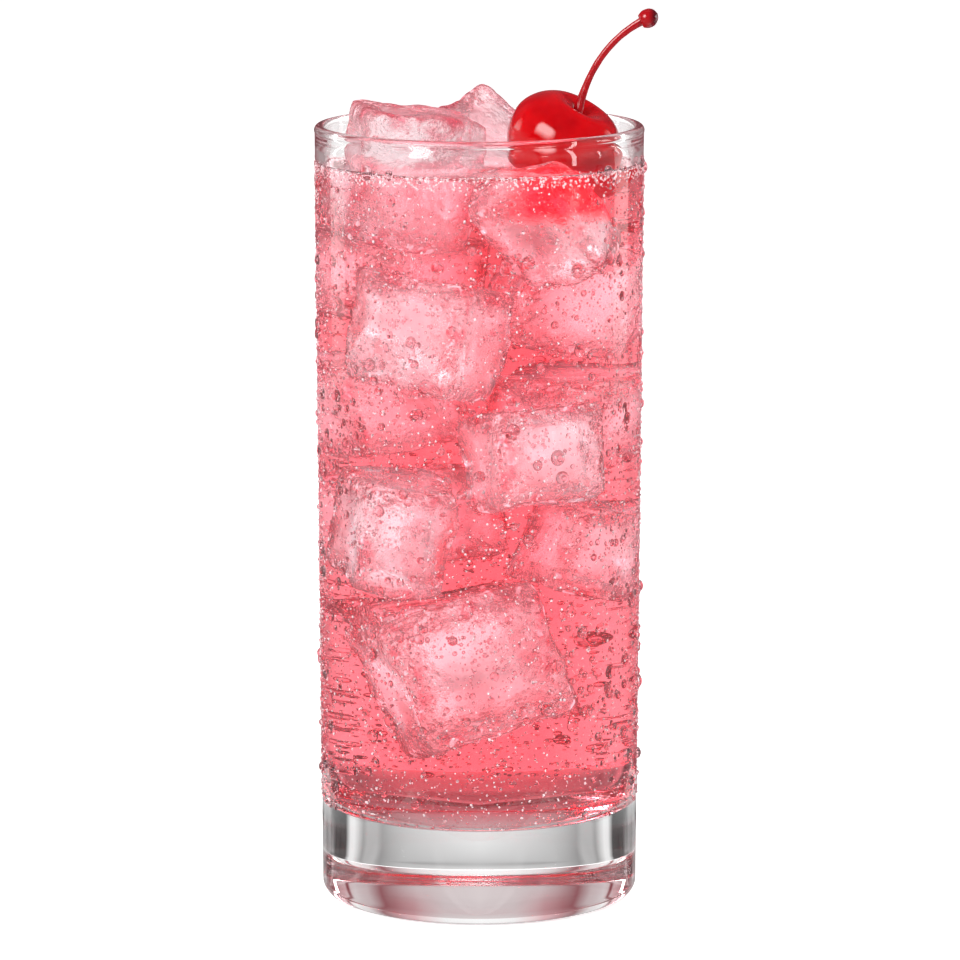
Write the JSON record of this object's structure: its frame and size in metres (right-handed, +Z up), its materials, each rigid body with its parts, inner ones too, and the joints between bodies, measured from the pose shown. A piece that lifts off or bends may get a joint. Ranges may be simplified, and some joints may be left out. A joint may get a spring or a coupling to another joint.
{
  "type": "pink collins cocktail in a tall glass",
  "caption": "Tall straight heavy-based glass filled with an iced pink sparkling cocktail, ice standing out of the top and a stemmed cocktail cherry at the rim.",
  "frame": {"origin": "middle of the glass's foot, on the table", "axes": "+Z up along the glass's axis, -Y the front; the cherry is on the right, towards +X, and its stem leans to +X"},
  "size_m": [0.0674, 0.065, 0.1778],
  "materials": {
    "glass": "clear polished glass, fire-polished lip, beaded with cold water outside",
    "drink": "clear pink sparkling drink with fine bubbles",
    "ice": "wet clear ice with melted edges, and clear water",
    "cherry": "glossy bright red syruped cherry skin",
    "stem": "glossy deep red stem, dark at the knob"
  },
  "bodies": {
    "root": {"glass": "glass", "drink": "drink", "ice_left": "ice", "ice_back": "ice", "ice_front": "ice", "cherry": "cherry", "cherry_stem": "stem"}
  },
  "joints": []
}
